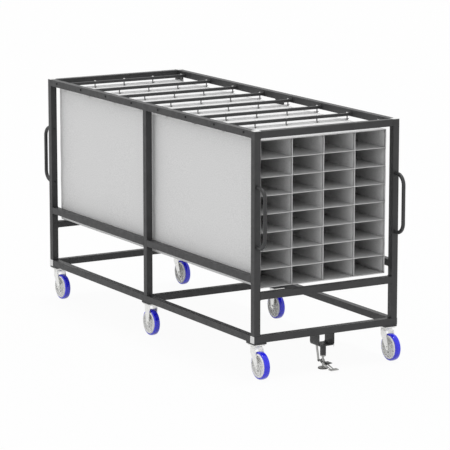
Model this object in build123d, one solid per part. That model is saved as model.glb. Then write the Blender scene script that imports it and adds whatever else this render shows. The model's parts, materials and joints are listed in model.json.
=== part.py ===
from build123d import *
import os
from math import cos, radians, sin, tan

os.makedirs("parts", exist_ok=True)

# A six-wheeled parts cart with a hanging cell bag.
# X runs along its length with the floor lock at +X, Y runs across it, Z is up and the floor is zero.

# Overall sizes of the welded tube frame
frame_length = 3200.0
frame_width = 1219.2
frame_height = 1520.0
tube_size = 50.8
tube_wall = 3.0
side_rail_rise = 433.0
end_rail_rise = 313.0

# Round forms that repeat have this many flat sides, which keeps the model light
wheel_sides = 20
ring_sides = 12
rod_sides = 8
shank_sides = 4

# Plugs that close the open tube ends
plug_flange = 3.0
plug_depth = 22.0
plug_clearance = 0.2

# Every bolt's hole is this much larger than its shank
bolt_clearance = 0.2

# Pads and casters
caster_height = 250.8
pad_thickness = 12.7
pad_length = 114.3
pad_width = 104.0
plate_length = 106.0
plate_width = 94.0
plate_thickness = 6.4
plate_bolt_pitch_x = 90.0
plate_bolt_pitch_y = 74.0
plate_bolt_radius = 4.0
plate_bolt_head = 6.5
plate_bolt_head_height = 5.0
wheel_radius = 101.6
tread_width = 44.0
tread_depth = 8.0
tread_shoulder = 3.5
core_width = 57.0
flank_depth = 4.0
rim_depth = 14.0
web_thickness = 12.0
hub_radius = 24.0
core_ribs = 4
rib_thickness = 5.0
rib_inset = 9.0
bushing_radius = 9.5
bushing_running_gap = 0.06
axle_radius = 6.35
axle_head = 10.5
axle_head_height = 8.0
fork_gap = 61.0
fork_thickness = 6.4
fork_eye = 19.0
fork_heel = 22.0
fork_toe = 37.0
fork_skirt = 40.0
crown_thickness = 8.0
crown_clearance = 14.0
race_radius = 45.0
race_lip = 4.0
race_height = 10.0
swivel_gap = 0.8
swivel_head_radius = 43.0
kingpin_radius = 9.5
kingpin_running_gap = 0.06
kingpin_nut = 15.0
kingpin_nut_height = 4.0
trail = 58.0

# Pull handles on the end faces of the corner posts
handle_bar = 28.0
handle_spacing = 430.0
handle_reach = 100.0
handle_bend = 76.0
handle_bend_steps = 4
handle_height = 1172.0
handle_bolt_radius = 4.0
handle_bolt_head = 7.0
handle_bolt_head_height = 5.0
handle_bolt_engagement = 14.0

# Crossbars between the top side rails
crossbar_count = 8
crossbar_pitch = 413.6
crossbar_depth = 25.4
crossbar_height = 16.0
crossbar_drop = 28.5
tab_thickness = 4.0
tab_width = 32.0
tab_height = 36.0
crossbar_bolt_radius = 4.0
crossbar_bolt_head = 7.5
crossbar_bolt_head_height = 5.0
crossbar_bolt_rise = 24.0

# Hanger bolts, support rods and the cell bag
cell_columns = 4
cell_rows = 8
bag_side_gap = 28.8
bag_end_gap = 1.2
bag_bottom = 649.0
cloth = 2.5
rod_radius = 4.75
rod_drop = 23.5
rod_overhang = 12.0
hanger_eye = 8.5
hanger_eye_width = 12.0
hanger_eye_gap = 0.2
hanger_stem = 5.0
hanger_head = 8.5
hanger_head_height = 6.0
hanger_hole_gap = 0.2
sleeve_cloth = 1.5
sleeve_gap = 0.3
sleeve_slope = 45.0
sleeve_notch = 18.0

# Floor lock under the front base rail
bracket_width = 135.0
bracket_length = 120.0
bracket_height = 88.0
bracket_plate = 8.0
bracket_bend = 20.0
lock_inset = 48.0
post_size = 31.75
post_wall = 3.0
post_length = 75.0
guide_height = 8.0
shaft_radius = 8.0
shaft_running_gap = 0.06
shaft_stroke = 18.0
shaft_shoulder_radius = 11.0
shaft_shoulder_height = 5.0
shaft_top_rise = 42.0
yoke_length = 30.0
yoke_width = 14.0
yoke_drop = 13.5
yoke_rise = 22.0
yoke_slot_gap = 1.0
yoke_slot_travel = 2.5
foot_radius = 37.0
foot_pad_thickness = 10.0
foot_cup_thickness = 5.0
foot_pad_lip = 3.0
lever_pin_radius = 4.0
lever_pin_height = 49.0
lever_swing = 35.0
lever_arm_gap = 20.0
lever_arm_thickness = 4.0
lever_arm_height = 15.0
pivot_pin_radius = 5.0
pivot_pin_overhang = 2.0
pivot_running_gap = 0.06
strap_gap = 36.0
strap_thickness = 4.0
strap_width = 24.0
strap_foot = 22.0
strap_lean = 28.0
pedal_reach = 160.0
pedal_height = 20.0
pedal_length = 38.0
pedal_width = 66.0
pedal_thickness = 6.0
pedal_teeth = 5
pedal_tooth_height = 3.0
release_pivot_reach = 42.0
release_pin_radius = 4.0
release_pad_length = 60.0
release_pad_width = 34.0
release_pad_thickness = 5.0
release_arm_width = 12.0
release_arm_height = 8.0
release_reach = 98.0
release_rise = 16.0
spring_radius = 12.0
spring_clearance = 0.4

# Cuts run past the faces that they open
overrun = 5.0

# Levels and places that follow from the sizes above
base_z = caster_height + pad_thickness
top_z = base_z + frame_height
half_length = frame_length / 2
half_width = frame_width / 2
inner_length = half_length - tube_size
inner_width = half_width - tube_size
side_rail_z = base_z + side_rail_rise
end_rail_z = base_z + end_rail_rise
top_rail_z = top_z - tube_size
post_centre_y = half_width - tube_size / 2
handle_leg_z = [handle_height - handle_spacing / 2, handle_height + handle_spacing / 2]
crossbar_top = top_z - crossbar_drop
crossbar_bottom = crossbar_top - crossbar_height
crossbar_x = [crossbar_pitch * (i - (crossbar_count - 1) / 2) for i in range(crossbar_count)]
crossbar_bolt_z = crossbar_bottom + crossbar_bolt_rise
rod_z = crossbar_bottom - rod_drop
bag_top = rod_z - hanger_eye - sleeve_cloth - sleeve_gap
bag_width = 2 * (inner_width - bag_side_gap)
bag_length = 2 * (inner_length - bag_end_gap)
column_pitch = (bag_width - cloth) / cell_columns
sheet_y = [column_pitch * (i - cell_columns / 2) for i in range(cell_columns + 1)]
row_pitch = (bag_top - bag_bottom - cloth) / cell_rows
corner_caster_x = half_length - pad_length / 2
caster_y = half_width - pad_width / 2
plate_bottom = caster_height - plate_thickness
race_bottom = plate_bottom - race_height
crown_bottom = 2 * wheel_radius + crown_clearance
core_radius = wheel_radius - tread_depth
rim_radius = core_radius - flank_depth

# Places within the floor lock
lock_x = half_length - lock_inset
web_bottom = base_z - bracket_height
lock_post_bottom = web_bottom - post_length
guide_bottom = lock_post_bottom - guide_height
half_swing = radians(lever_swing / 2)
lever_radius = shaft_stroke / (2 * sin(half_swing))
pivot_x = lock_x - lever_radius * cos(half_swing)
pivot_z = lever_pin_height + lever_radius * sin(half_swing)
release_x = lock_x + release_pivot_reach
release_z = lever_pin_height + (pedal_height - lever_pin_height) * release_pivot_reach / pedal_reach


def block(x_low, x_high, y_low, y_high, z_low, z_high):
    """A box between six planes."""
    centre = Pos((x_low + x_high) / 2, (y_low + y_high) / 2, (z_low + z_high) / 2)
    return centre * Box(x_high - x_low, y_high - y_low, z_high - z_low)


def square_tube(x_low, x_high, y_low, y_high, z_low, z_high, wall, along):
    """A hollow tube that is open at both ends of the named axis."""
    low = [x_low, y_low, z_low]
    high = [x_high, y_high, z_high]
    for axis in range(3):
        inset = -overrun if "xyz"[axis] == along else wall
        low[axis] += inset
        high[axis] -= inset
    bore = block(low[0], high[0], low[1], high[1], low[2], high[2])
    return block(x_low, x_high, y_low, y_high, z_low, z_high) - bore


def rod_along(direction, radius, length, place, sides=rod_sides):
    """A round bar that starts at the place and runs along the direction."""
    plane = Plane(origin=place, z_dir=direction)
    return extrude(plane * RegularPolygon(radius, sides), length)


def hexagon_along(direction, radius, length, place):
    """A six-sided bolt head or nut."""
    return rod_along(direction, radius, length, place, 6)


def shank_along(direction, radius, length, place):
    """A bolt's shank, or with its clearance the hole that it goes through."""
    return rod_along(direction, radius, length, place, shank_sides)


def bore_along(direction, radius, length, place, sides=rod_sides):
    """A round hole's inside, whose flat sides all clear the radius."""
    plane = Plane(origin=place, z_dir=direction)
    return extrude(plane * RegularPolygon(radius, sides, major_radius=False), length)


def turned(stations, sides):
    """A form about Z through stations of radius and height, from the lowest up, with flat sides."""
    turns = [radians(360 * i / sides) for i in range(sides)]
    rings = [[(radius * cos(turn), radius * sin(turn), height) for turn in turns] for radius, height in stations]
    outlines = [rings[0], rings[-1]]
    for low, high in zip(rings[:-1], rings[1:]):
        for i in range(sides):
            outlines.append([low[i - 1], low[i], high[i], high[i - 1]])
    return Solid(Shell([Face(Wire.make_polygon(outline)) for outline in outlines]))


def save(name, *shapes):
    """Write one node, a single solid or a group of separate solids."""
    solids = [solid for shape in shapes for solid in shape.solids()]
    node = solids[0] if len(solids) == 1 else Compound(children=solids)
    node.label = name
    export_step(node, f"parts/{name}.step")


def corner_post(end, side):
    """A corner post on the base end rail, drilled for its handle's two bolts."""
    x_out = end * half_length
    x_in = end * inner_length
    y_out = side * half_width
    y_in = side * inner_width
    post = square_tube(min(x_out, x_in), max(x_out, x_in), min(y_out, y_in), max(y_out, y_in),
                       base_z + tube_size, top_z, tube_wall, "z")
    drill = handle_bolt_radius + bolt_clearance
    for leg_z in handle_leg_z:
        start = (x_in - end * overrun, side * post_centre_y, leg_z)
        post -= shank_along((end, 0, 0), drill, tube_size + 2 * overrun, start)
    return post


def middle_post(side):
    """A post at half length, from the base side rail up to the top side rail."""
    y_out = side * half_width
    y_in = side * inner_width
    return square_tube(-tube_size / 2, tube_size / 2, min(y_out, y_in), max(y_out, y_in),
                       base_z + tube_size, top_rail_z, tube_wall, "z")


def rail_along_y(x_centre, y_reach, z_low):
    """A rail across the cart, the same reach on both sides."""
    return square_tube(x_centre - tube_size / 2, x_centre + tube_size / 2, -y_reach, y_reach,
                       z_low, z_low + tube_size, tube_wall, "y")


def rail_along_x(x_low, x_high, side, z_low):
    """A rail along one side of the cart."""
    y_out = side * half_width
    y_in = side * inner_width
    return square_tube(x_low, x_high, min(y_out, y_in), max(y_out, y_in),
                       z_low, z_low + tube_size, tube_wall, "x")


def top_side_rail(side):
    """A top side rail, drilled for the crossbar bolts."""
    rail = rail_along_x(-inner_length, inner_length, side, top_rail_z)
    drill = crossbar_bolt_radius + bolt_clearance
    for x in crossbar_x:
        start = (x, side * (inner_width - overrun), crossbar_bolt_z)
        rail -= shank_along((0, side, 0), drill, tube_size + 2 * overrun, start)
    return rail


def tube_plug(place, direction):
    """A moulded plug: a thin flange outside and a hollow stem inside the tube."""
    half_tube = tube_size / 2
    half_stem = half_tube - tube_wall - plug_clearance
    plane = Plane(origin=place, z_dir=direction)
    flange = extrude(plane * Rectangle(tube_size, tube_size), plug_flange)
    stem = extrude(plane * Rectangle(2 * half_stem, 2 * half_stem), -plug_depth)
    hollow = extrude(plane * Rectangle(2 * half_stem - tube_wall, 2 * half_stem - tube_wall), -plug_depth)
    return flange + (stem - hollow)


def frame():
    """The welded tubes, their plugs and the caster pads."""
    for end, end_name in ((1, "front"), (-1, "rear")):
        for side, side_name in ((-1, "near"), (1, "far")):
            save(f"corner_post_{end_name}_{side_name}", corner_post(end, side))
        end_x = end * (half_length - tube_size / 2)
        save(f"base_end_rail_{end_name}", rail_along_y(end_x, half_width, base_z))
    sides = (-1, 1)
    save("middle_posts", *[middle_post(side) for side in sides])
    save("base_side_rails", *[rail_along_x(-inner_length, inner_length, side, base_z) for side in sides])
    save("base_cross_rail", rail_along_y(0, inner_width, base_z))
    half_tube = tube_size / 2
    bays = [(-inner_length, -half_tube), (half_tube, inner_length)]
    bay_rails = [rail_along_x(low, high, side, side_rail_z) for side in sides for low, high in bays]
    save("middle_side_rails", *bay_rails)
    ends = [end * (half_length - half_tube) for end in (-1, 1)]
    save("middle_end_rails", *[rail_along_y(x, inner_width, end_rail_z) for x in ends])
    save("top_side_rails", *[top_side_rail(side) for side in sides])
    save("top_end_rails", *[rail_along_y(x, inner_width, top_rail_z) for x in ends])
    plugs = []
    for x in ends:
        for side in sides:
            plugs.append(tube_plug((x, side * post_centre_y, top_z), (0, 0, 1)))
            plugs.append(tube_plug((x, side * half_width, base_z + half_tube), (0, side, 0)))
    save("tube_plugs", *plugs)


def bolt_places():
    """The four bolts of one caster plate, about its centre."""
    return [(i * plate_bolt_pitch_x / 2, j * plate_bolt_pitch_y / 2) for i in (-1, 1) for j in (-1, 1)]


def caster_pad(x, y):
    """The steel pad under the frame, drilled for the caster's bolts."""
    pad = block(x - pad_length / 2, x + pad_length / 2, y - pad_width / 2, y + pad_width / 2,
                caster_height, base_z)
    drill = plate_bolt_radius + bolt_clearance
    for dx, dy in bolt_places():
        start = (x + dx, y + dy, caster_height - overrun)
        pad -= shank_along((0, 0, 1), drill, pad_thickness + 2 * overrun, start)
    return pad


def caster_plate(x, y, swivels):
    """The bolted plate; a swivel caster's plate carries the upper race and the kingpin."""
    plate = block(x - plate_length / 2, x + plate_length / 2, y - plate_width / 2, y + plate_width / 2,
                  plate_bottom, caster_height)
    drill = plate_bolt_radius + bolt_clearance
    for dx, dy in bolt_places():
        start = (x + dx, y + dy, plate_bottom - overrun)
        plate -= shank_along((0, 0, 1), drill, plate_thickness + 2 * overrun, start)
    if swivels:
        race = [(race_radius - race_lip, race_bottom), (race_radius, race_bottom + race_lip),
                (race_radius, plate_bottom)]
        plate += Pos(x, y, 0) * turned(race, ring_sides)
        pin_bottom = crown_bottom - kingpin_nut_height - swivel_gap
        plate += rod_along((0, 0, 1), kingpin_radius, race_bottom - pin_bottom, (x, y, pin_bottom))
        plate += hexagon_along((0, 0, 1), kingpin_nut, kingpin_nut_height, (x, y, pin_bottom))
    return plate


def plate_bolts(x, y):
    """Hex bolts, heads below the plate and shanks up into the pad."""
    bolts = []
    for dx, dy in bolt_places():
        start = (x + dx, y + dy, plate_bottom)
        head = hexagon_along((0, 0, -1), plate_bolt_head, plate_bolt_head_height, start)
        shank = shank_along((0, 0, 1), plate_bolt_radius, base_z - plate_bottom, start)
        bolts.append(head + shank)
    return bolts


def fork_leg(x, y, offset, side, top):
    """A pressed leg: an upright skirt below the crown that narrows to the axle eye."""
    plane = Plane(origin=(x, y + side * fork_gap / 2, 0), x_dir=(1, 0, 0), z_dir=(0, -1, 0))
    eye = Pos(offset, wheel_radius) * RegularPolygon(fork_eye, rod_sides)
    low_x, high_x = fork_reach(offset)
    skirt = Pos((low_x + high_x) / 2, top - fork_skirt / 2) * Rectangle(high_x - low_x, fork_skirt)
    leg = extrude(plane * make_hull(eye.edges() + skirt.edges()), -side * fork_thickness)
    bore = hexagon_along((0, side, 0), axle_radius + bolt_clearance, fork_gap, (x + offset, y, wheel_radius))
    return leg - bore


def fork_reach(offset):
    """How far a fork's crown goes behind and ahead of the plate's centre."""
    return (-fork_heel, fork_toe) if offset else (-fork_toe, fork_toe)


def fork(x, y, offset, swivels):
    """The fork: crown, two legs and, on a swivel caster, the lower race."""
    top = race_bottom - swivel_gap if swivels else plate_bottom
    crown_top = crown_bottom + crown_thickness if swivels else plate_bottom
    half_crown = fork_gap / 2 + fork_thickness
    low_x, high_x = fork_reach(offset)
    crown = block(x + low_x, x + high_x, y - half_crown, y + half_crown,
                  crown_top - crown_thickness, crown_top)
    body = crown + fork_leg(x, y, offset, 1, crown_top) + fork_leg(x, y, offset, -1, crown_top)
    if swivels:
        head = [(swivel_head_radius, crown_top), (swivel_head_radius, top - race_lip),
                (swivel_head_radius - race_lip, top)]
        body += Pos(x, y, 0) * turned(head, ring_sides)
        bore_start = (x, y, crown_top - crown_thickness - overrun)
        bore_length = top - bore_start[2] + overrun
        body -= bore_along((0, 0, 1), kingpin_radius + kingpin_running_gap, bore_length, bore_start)
    return body


def axle(x, y):
    """The axle bolt with its head and nut, and the spacer bushing that the wheel turns on."""
    outer = fork_gap / 2 + fork_thickness
    inner = fork_gap / 2
    shank = hexagon_along((0, 1, 0), axle_radius, 2 * outer, (x, y - outer, wheel_radius))
    head = hexagon_along((0, -1, 0), axle_head, axle_head_height, (x, y - outer, wheel_radius))
    nut = hexagon_along((0, 1, 0), axle_head, axle_head_height, (x, y + outer, wheel_radius))
    sleeve = rod_along((0, 1, 0), bushing_radius, fork_gap, (x, y - inner, wheel_radius))
    sleeve -= hexagon_along((0, 1, 0), axle_radius, fork_gap, (x, y - inner, wheel_radius))
    return [shank + head + nut, sleeve]


def wheel_core():
    """The moulded centre: a rim that stands proud of the tread, a ribbed web and a hub."""
    half_core = core_width / 2
    half_tread = tread_width / 2
    half_web = web_thickness / 2
    rim_inner = rim_radius - rim_depth
    rim = [(rim_radius, -half_core), (core_radius, -half_tread),
           (core_radius, half_tread), (rim_radius, half_core)]
    core = turned(rim, wheel_sides)
    hub = turned([(hub_radius, -half_core), (hub_radius, half_core)], ring_sides)
    for face in (-1, 1):
        ends = sorted((face * half_web, face * (half_core + overrun)))
        core -= turned([(rim_inner, ends[0]), (rim_inner, ends[1])], ring_sides) - hub
    rib_reach = rim_inner - hub_radius + rim_depth / 2 + rib_thickness / 2
    for i in range(core_ribs):
        rib = Box(rib_reach, rib_thickness, 2 * (half_core - rib_inset))
        turn = 360 * i / core_ribs + 180 / ring_sides
        core += Rot(0, 0, turn) * Pos((rim_inner + hub_radius) / 2, 0, 0) * rib
    bore = bushing_radius + bushing_running_gap
    core -= bore_along((0, 0, 1), bore, core_width + 2 * overrun, (0, 0, -half_core - overrun))
    return Rot(90, 0, 0) * core


def wheel_tread():
    """The tyre bonded around the core, with bevelled shoulders."""
    half = tread_width / 2
    edge = wheel_radius - tread_shoulder
    flat = half - tread_shoulder
    tyre = turned([(edge, -half), (wheel_radius, -flat), (wheel_radius, flat), (edge, half)], wheel_sides)
    return Rot(90, 0, 0) * (tyre - turned([(core_radius, -half), (core_radius, half)], wheel_sides))


def casters():
    """Four swivel casters at the corners and two rigid ones at half length."""
    places = []
    for end, end_name in ((1, "front"), (0, "middle"), (-1, "rear")):
        for side, side_name in ((-1, "near"), (1, "far")):
            places.append((end, side, f"{end_name}_{side_name}"))
    pads = []
    plates = []
    bolts = []
    core = wheel_core()
    tread = wheel_tread()
    for end, side, name in places:
        x = end * corner_caster_x
        y = side * caster_y
        offset = trail if end else 0
        pads.append(caster_pad(x, y))
        plates.append(caster_plate(x, y, bool(end)))
        bolts += plate_bolts(x, y)
        save(f"caster_fork_{name}", fork(x, y, offset, bool(end)))
        save(f"caster_axle_{name}", *axle(x + offset, y))
        save(f"wheel_core_{name}", Pos(x + offset, y, wheel_radius) * core)
        save(f"wheel_tread_{name}", Pos(x + offset, y, wheel_radius) * tread)
    save("caster_pads", *pads)
    save("caster_plates", *plates)
    save("caster_bolts", *bolts)


def pull_handle(end, side):
    """A round bar bent to a D, its two legs square on the post's end face."""
    y = side * post_centre_y
    face = end * half_length
    reach = handle_reach - handle_bend
    low, high = handle_leg_z
    sections = [bar_section(face, y, low, end, 0)]
    for step in range(handle_bend_steps + 1):
        turn = radians(90 * step / handle_bend_steps)
        out = reach + handle_bend * sin(turn)
        sections.append(bar_section(face + end * out, y, low + handle_bend * (1 - cos(turn)), end, turn))
    for step in range(handle_bend_steps + 1):
        turn = radians(90 + 90 * step / handle_bend_steps)
        out = reach + handle_bend * sin(turn)
        sections.append(bar_section(face + end * out, y, high - handle_bend * (1 + cos(turn)), end, turn))
    sections.append(bar_section(face, y, high, end, radians(180)))
    bar = loft(sections, ruled=True)
    drill = handle_bolt_radius + bolt_clearance
    depth = handle_bolt_engagement + bolt_clearance + overrun
    for z in handle_leg_z:
        bar -= shank_along((end, 0, 0), drill, depth, (face - end * overrun, y, z))
    return bar


def bar_section(x, y, z, end, turn):
    """The handle bar's section where its run has turned from outward to upward and back."""
    run = (end * cos(turn), 0, sin(turn))
    return Plane(origin=(x, y, z), x_dir=(0, 1, 0), z_dir=run) * RegularPolygon(handle_bar / 2, rod_sides)


def handle_bolts():
    """Bolts from the inner face of each post into the handle's legs."""
    bolts = []
    for end in (-1, 1):
        for side in (-1, 1):
            for z in handle_leg_z:
                start = (end * inner_length, side * post_centre_y, z)
                length = tube_size + handle_bolt_engagement
                head = hexagon_along((-end, 0, 0), handle_bolt_head, handle_bolt_head_height, start)
                shank = shank_along((end, 0, 0), handle_bolt_radius, length, start)
                bolts.append(head + shank)
    return bolts


def handles():
    """Two pull handles at each end and their bolts."""
    for end, name in ((1, "front"), (-1, "rear")):
        save(f"pull_handles_{name}", *[pull_handle(end, side) for side in (-1, 1)])
    save("handle_bolts", *handle_bolts())


def crossbar(x):
    """A flat bar across the cart with an upright tab at each end."""
    y_tab = inner_width - tab_thickness
    bar = block(x - crossbar_depth / 2, x + crossbar_depth / 2, -y_tab, y_tab, crossbar_bottom, crossbar_top)
    for side in (-1, 1):
        tab = block(x - tab_width / 2, x + tab_width / 2, min(side * y_tab, side * inner_width),
                    max(side * y_tab, side * inner_width), crossbar_bottom, crossbar_bottom + tab_height)
        start = (x, side * (y_tab - overrun), crossbar_bolt_z)
        tab -= shank_along((0, side, 0), crossbar_bolt_radius + bolt_clearance,
                           tab_thickness + 2 * overrun, start)
        bar += tab
    for y in sheet_y:
        bar -= shank_along((0, 0, 1), hanger_stem + hanger_hole_gap, crossbar_height + 2 * overrun,
                           (x, y, crossbar_bottom - overrun))
    return bar


def crossbar_bolts(x):
    """A bolt through each side rail that screws into the crossbar's tab."""
    bolts = []
    for side in (-1, 1):
        y_tab = inner_width - tab_thickness
        shank = shank_along((0, side, 0), crossbar_bolt_radius, half_width - y_tab,
                            (x, side * y_tab, crossbar_bolt_z))
        head = hexagon_along((0, side, 0), crossbar_bolt_head, crossbar_bolt_head_height,
                             (x, side * half_width, crossbar_bolt_z))
        bolts.append(shank + head)
    return bolts


def hanger(x, y):
    """A headed stem through the crossbar that ends in an eye around the rod."""
    half = hanger_eye_width / 2
    inside = rod_radius + hanger_eye_gap
    eye = block(x - hanger_eye, x + hanger_eye, y - half, y + half, rod_z - hanger_eye, rod_z + hanger_eye)
    eye -= block(x - inside, x + inside, y - half, y + half, rod_z - inside, rod_z + inside)
    eye_top = rod_z + hanger_eye
    stem = shank_along((0, 0, 1), hanger_stem, crossbar_top - eye_top, (x, y, eye_top))
    head = hexagon_along((0, 0, 1), hanger_head, hanger_head_height, (x, y, crossbar_top))
    return eye + stem + head


def support_rod(x):
    """A round rod through the eyes of one crossbar's hangers."""
    reach = bag_width / 2 + rod_overhang
    return rod_along((0, 1, 0), rod_radius, 2 * reach, (x, -reach, rod_z))


def bag_sleeves(x):
    """Cloth folded over one rod and sewn to the bag's top on both sides, open at each hanger."""
    slope = radians(sleeve_slope)
    rise = rod_z - bag_top
    inside = (rod_radius + sleeve_gap) / cos(slope)
    outside = (rod_radius + sleeve_gap + sleeve_cloth) / cos(slope)
    inner_foot = (rise + inside) / tan(slope)
    outer_foot = (rise + outside) / tan(slope)
    fold = Polyline((-outer_foot, bag_top), (0, rod_z + outside), (outer_foot, bag_top),
                    (inner_foot, bag_top), (0, rod_z + inside), (-inner_foot, bag_top), close=True)
    sleeves = []
    for left, right in zip(sheet_y[:-1], sheet_y[1:]):
        start = left + sleeve_notch / 2
        plane = Plane(origin=(x, start, 0), x_dir=(-1, 0, 0), z_dir=(0, 1, 0))
        sleeves.append(extrude(plane * make_face(fold), right - left - sleeve_notch))
    return sleeves


def cell_bag():
    """Five upright sheets with a shelf in each cell, closed above and below and open at both ends."""
    half = bag_length / 2
    half_cloth = cloth / 2
    inner_low = bag_bottom + cloth
    inner_high = bag_top - cloth
    uprights = [block(-half, half, y - half_cloth, y + half_cloth, inner_low, inner_high) for y in sheet_y]
    save("bag_upright_sheets", *uprights)
    shelves = [block(-half, half, -bag_width / 2, bag_width / 2, bag_bottom, inner_low)]
    for row in range(1, cell_rows):
        z = bag_bottom + row * row_pitch
        for left, right in zip(sheet_y[:-1], sheet_y[1:]):
            shelves.append(block(-half, half, left + half_cloth, right - half_cloth, z, z + cloth))
    save("bag_shelf_sheets", *shelves)
    top = block(-half, half, -bag_width / 2, bag_width / 2, inner_high, bag_top)
    save("bag_top_sheet", top, *[sleeve for x in crossbar_x for sleeve in bag_sleeves(x)])


def bag_supports():
    """The crossbars, their bolts, the hangers and the rods."""
    save("crossbars", *[crossbar(x) for x in crossbar_x])
    save("crossbar_bolts", *[bolt for x in crossbar_x for bolt in crossbar_bolts(x)])
    save("hanger_bolts", *[hanger(x, y) for x in crossbar_x for y in sheet_y])
    save("bag_support_rods", *[support_rod(x) for x in crossbar_x])


def lock_bracket():
    """A bent U plate under the front base rail."""
    outer = block(half_length - bracket_length, half_length, -bracket_width / 2, bracket_width / 2,
                  web_bottom, base_z)
    lower_edges = outer.edges().filter_by(Axis.X).group_by(Axis.Z)[0]
    outer = fillet(lower_edges, bracket_bend)
    inner_half = bracket_width / 2 - bracket_plate
    inner = block(half_length - bracket_length - overrun, half_length + overrun, -inner_half, inner_half,
                  web_bottom + bracket_plate, base_z + overrun)
    lower_edges = inner.edges().filter_by(Axis.X).group_by(Axis.Z)[0]
    inner = fillet(lower_edges, bracket_bend - bracket_plate)
    return outer - inner


def lock_post():
    """The square tube below the bracket that the lock's shaft slides in."""
    half = post_size / 2
    return square_tube(lock_x - half, lock_x + half, -half, half,
                       lock_post_bottom, web_bottom, post_wall, "z")


def lock_guide():
    """The plate that closes the post's lower end and guides the shaft."""
    half = post_size / 2
    guide = block(lock_x - half, lock_x + half, -half, half, guide_bottom, lock_post_bottom)
    start = (lock_x, 0, guide_bottom - overrun)
    return guide - bore_along((0, 0, 1), shaft_radius + shaft_running_gap, guide_height + 2 * overrun, start)


def side_strap(side):
    """A zinc strap with a bent foot under the bracket and an eye for the lever's pivot."""
    inner = side * strap_gap / 2
    plane = Plane(origin=(0, inner, 0), x_dir=(1, 0, 0), z_dir=(0, -1, 0))
    eye = Pos(pivot_x, pivot_z) * RegularPolygon(strap_width / 2, rod_sides)
    top_x = pivot_x - strap_lean
    head = Pos(top_x, web_bottom - strap_thickness / 2) * Rectangle(strap_width, strap_thickness)
    strap = extrude(plane * make_hull(eye.edges() + head.edges()), -side * strap_thickness)
    outer = side * (strap_gap / 2 + strap_foot)
    foot = block(top_x - strap_width / 2, top_x + strap_width / 2, min(inner, outer), max(inner, outer),
                 web_bottom - strap_thickness, web_bottom)
    return strap + foot


def lock_straps():
    """Both straps and the pivot pin that joins them."""
    reach = strap_gap / 2 + strap_thickness + pivot_pin_overhang
    pin = rod_along((0, 1, 0), pivot_pin_radius, 2 * reach, (pivot_x, -reach, pivot_z))
    straps = []
    for side in (-1, 1):
        straps.append(side_strap(side) - pin)
    return straps + [pin]


def lock_shaft():
    """The sliding shaft with its shoulder, slotted yoke and foot cup."""
    cup_bottom = foot_pad_thickness
    cup_top = cup_bottom + foot_cup_thickness
    shaft_top = lock_post_bottom + shaft_top_rise
    shaft = rod_along((0, 0, 1), shaft_radius, shaft_top - cup_bottom, (lock_x, 0, cup_bottom))
    shaft += rod_along((0, 0, 1), shaft_shoulder_radius, shaft_shoulder_height,
                       (lock_x, 0, shaft_top - shaft_shoulder_height))
    cup_radius = foot_radius - foot_pad_lip
    cup = [(cup_radius, cup_bottom), (cup_radius, cup_top - foot_cup_thickness / 2),
           (shaft_shoulder_radius + foot_cup_thickness, cup_top)]
    shaft += Pos(lock_x, 0, 0) * turned(cup, ring_sides)
    shaft += block(lock_x - yoke_length / 2, lock_x + yoke_length / 2, -yoke_width / 2, yoke_width / 2,
                   lever_pin_height - yoke_drop, lever_pin_height + yoke_rise)
    slot_end = RegularPolygon(lever_pin_radius + yoke_slot_gap, rod_sides, major_radius=False)
    slot_ends = [Pos(i * yoke_slot_travel, 0) * slot_end for i in (-1, 1)]
    slot = make_hull(slot_ends[0].edges() + slot_ends[1].edges())
    plane = Plane(origin=(lock_x, -yoke_width, lever_pin_height), x_dir=(1, 0, 0), z_dir=(0, 1, 0))
    return shaft - extrude(plane * slot, 2 * yoke_width)


def lock_foot_pad():
    """The rubber pad under the foot cup."""
    pad = [(foot_radius, 0), (foot_radius, foot_pad_thickness - foot_pad_lip),
           (foot_radius - foot_pad_lip, foot_pad_thickness)]
    return Pos(lock_x, 0, 0) * turned(pad, ring_sides)


def pedal_arm(side):
    """One arm of the lever: an eye on the pivot, a knee at the shaft's pin and a run down to the pedal."""
    inner = side * lever_arm_gap / 2
    plane = Plane(origin=(0, inner, 0), x_dir=(1, 0, 0), z_dir=(0, -1, 0))
    half = lever_arm_height / 2
    pivot_eye = Pos(pivot_x, pivot_z) * RegularPolygon(half, rod_sides)
    knee = Pos(lock_x, lever_pin_height) * RegularPolygon(half, rod_sides)
    tip_x = lock_x + pedal_reach - pedal_length
    tip = Pos(tip_x, pedal_height) * Rectangle(pedal_thickness, pedal_thickness)
    outline = make_hull(pivot_eye.edges() + knee.edges()) + make_hull(knee.edges() + tip.edges())
    return extrude(plane * outline, -side * lever_arm_thickness)


def serrated_plate():
    """The toothed foot plate at the lever's tip."""
    x_high = lock_x + pedal_reach
    x_low = x_high - pedal_length
    z_low = pedal_height - pedal_thickness / 2
    plate = block(x_low, x_high, -pedal_width / 2, pedal_width / 2, z_low, z_low + pedal_thickness)
    pitch = pedal_length / pedal_teeth
    z_high = z_low + pedal_thickness
    for i in range(pedal_teeth):
        back = x_low + i * pitch
        front = back + pitch
        tooth = Polyline((back, z_high), (front, z_high), (front, z_high + pedal_tooth_height), close=True)
        section = make_face(Plane.XZ * tooth)
        plate += extrude(section, pedal_width / 2, both=True)
    return plate


def lock_pedal():
    """The lever: two arms, the pins across them and the serrated plate."""
    arms = pedal_arm(-1) + pedal_arm(1)
    reach = lever_arm_gap / 2 + lever_arm_thickness
    arms -= bore_along((0, 1, 0), pivot_pin_radius + pivot_running_gap, 2 * reach + 2 * overrun,
                       (pivot_x, -reach - overrun, pivot_z))
    arms += rod_along((0, 1, 0), lever_pin_radius, 2 * reach, (lock_x, -reach, lever_pin_height))
    arms += serrated_plate()
    return arms - bore_along((0, 1, 0), release_pin_radius + pivot_running_gap, 2 * reach + 2 * overrun,
                             (release_x, -reach - overrun, release_z))


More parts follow.
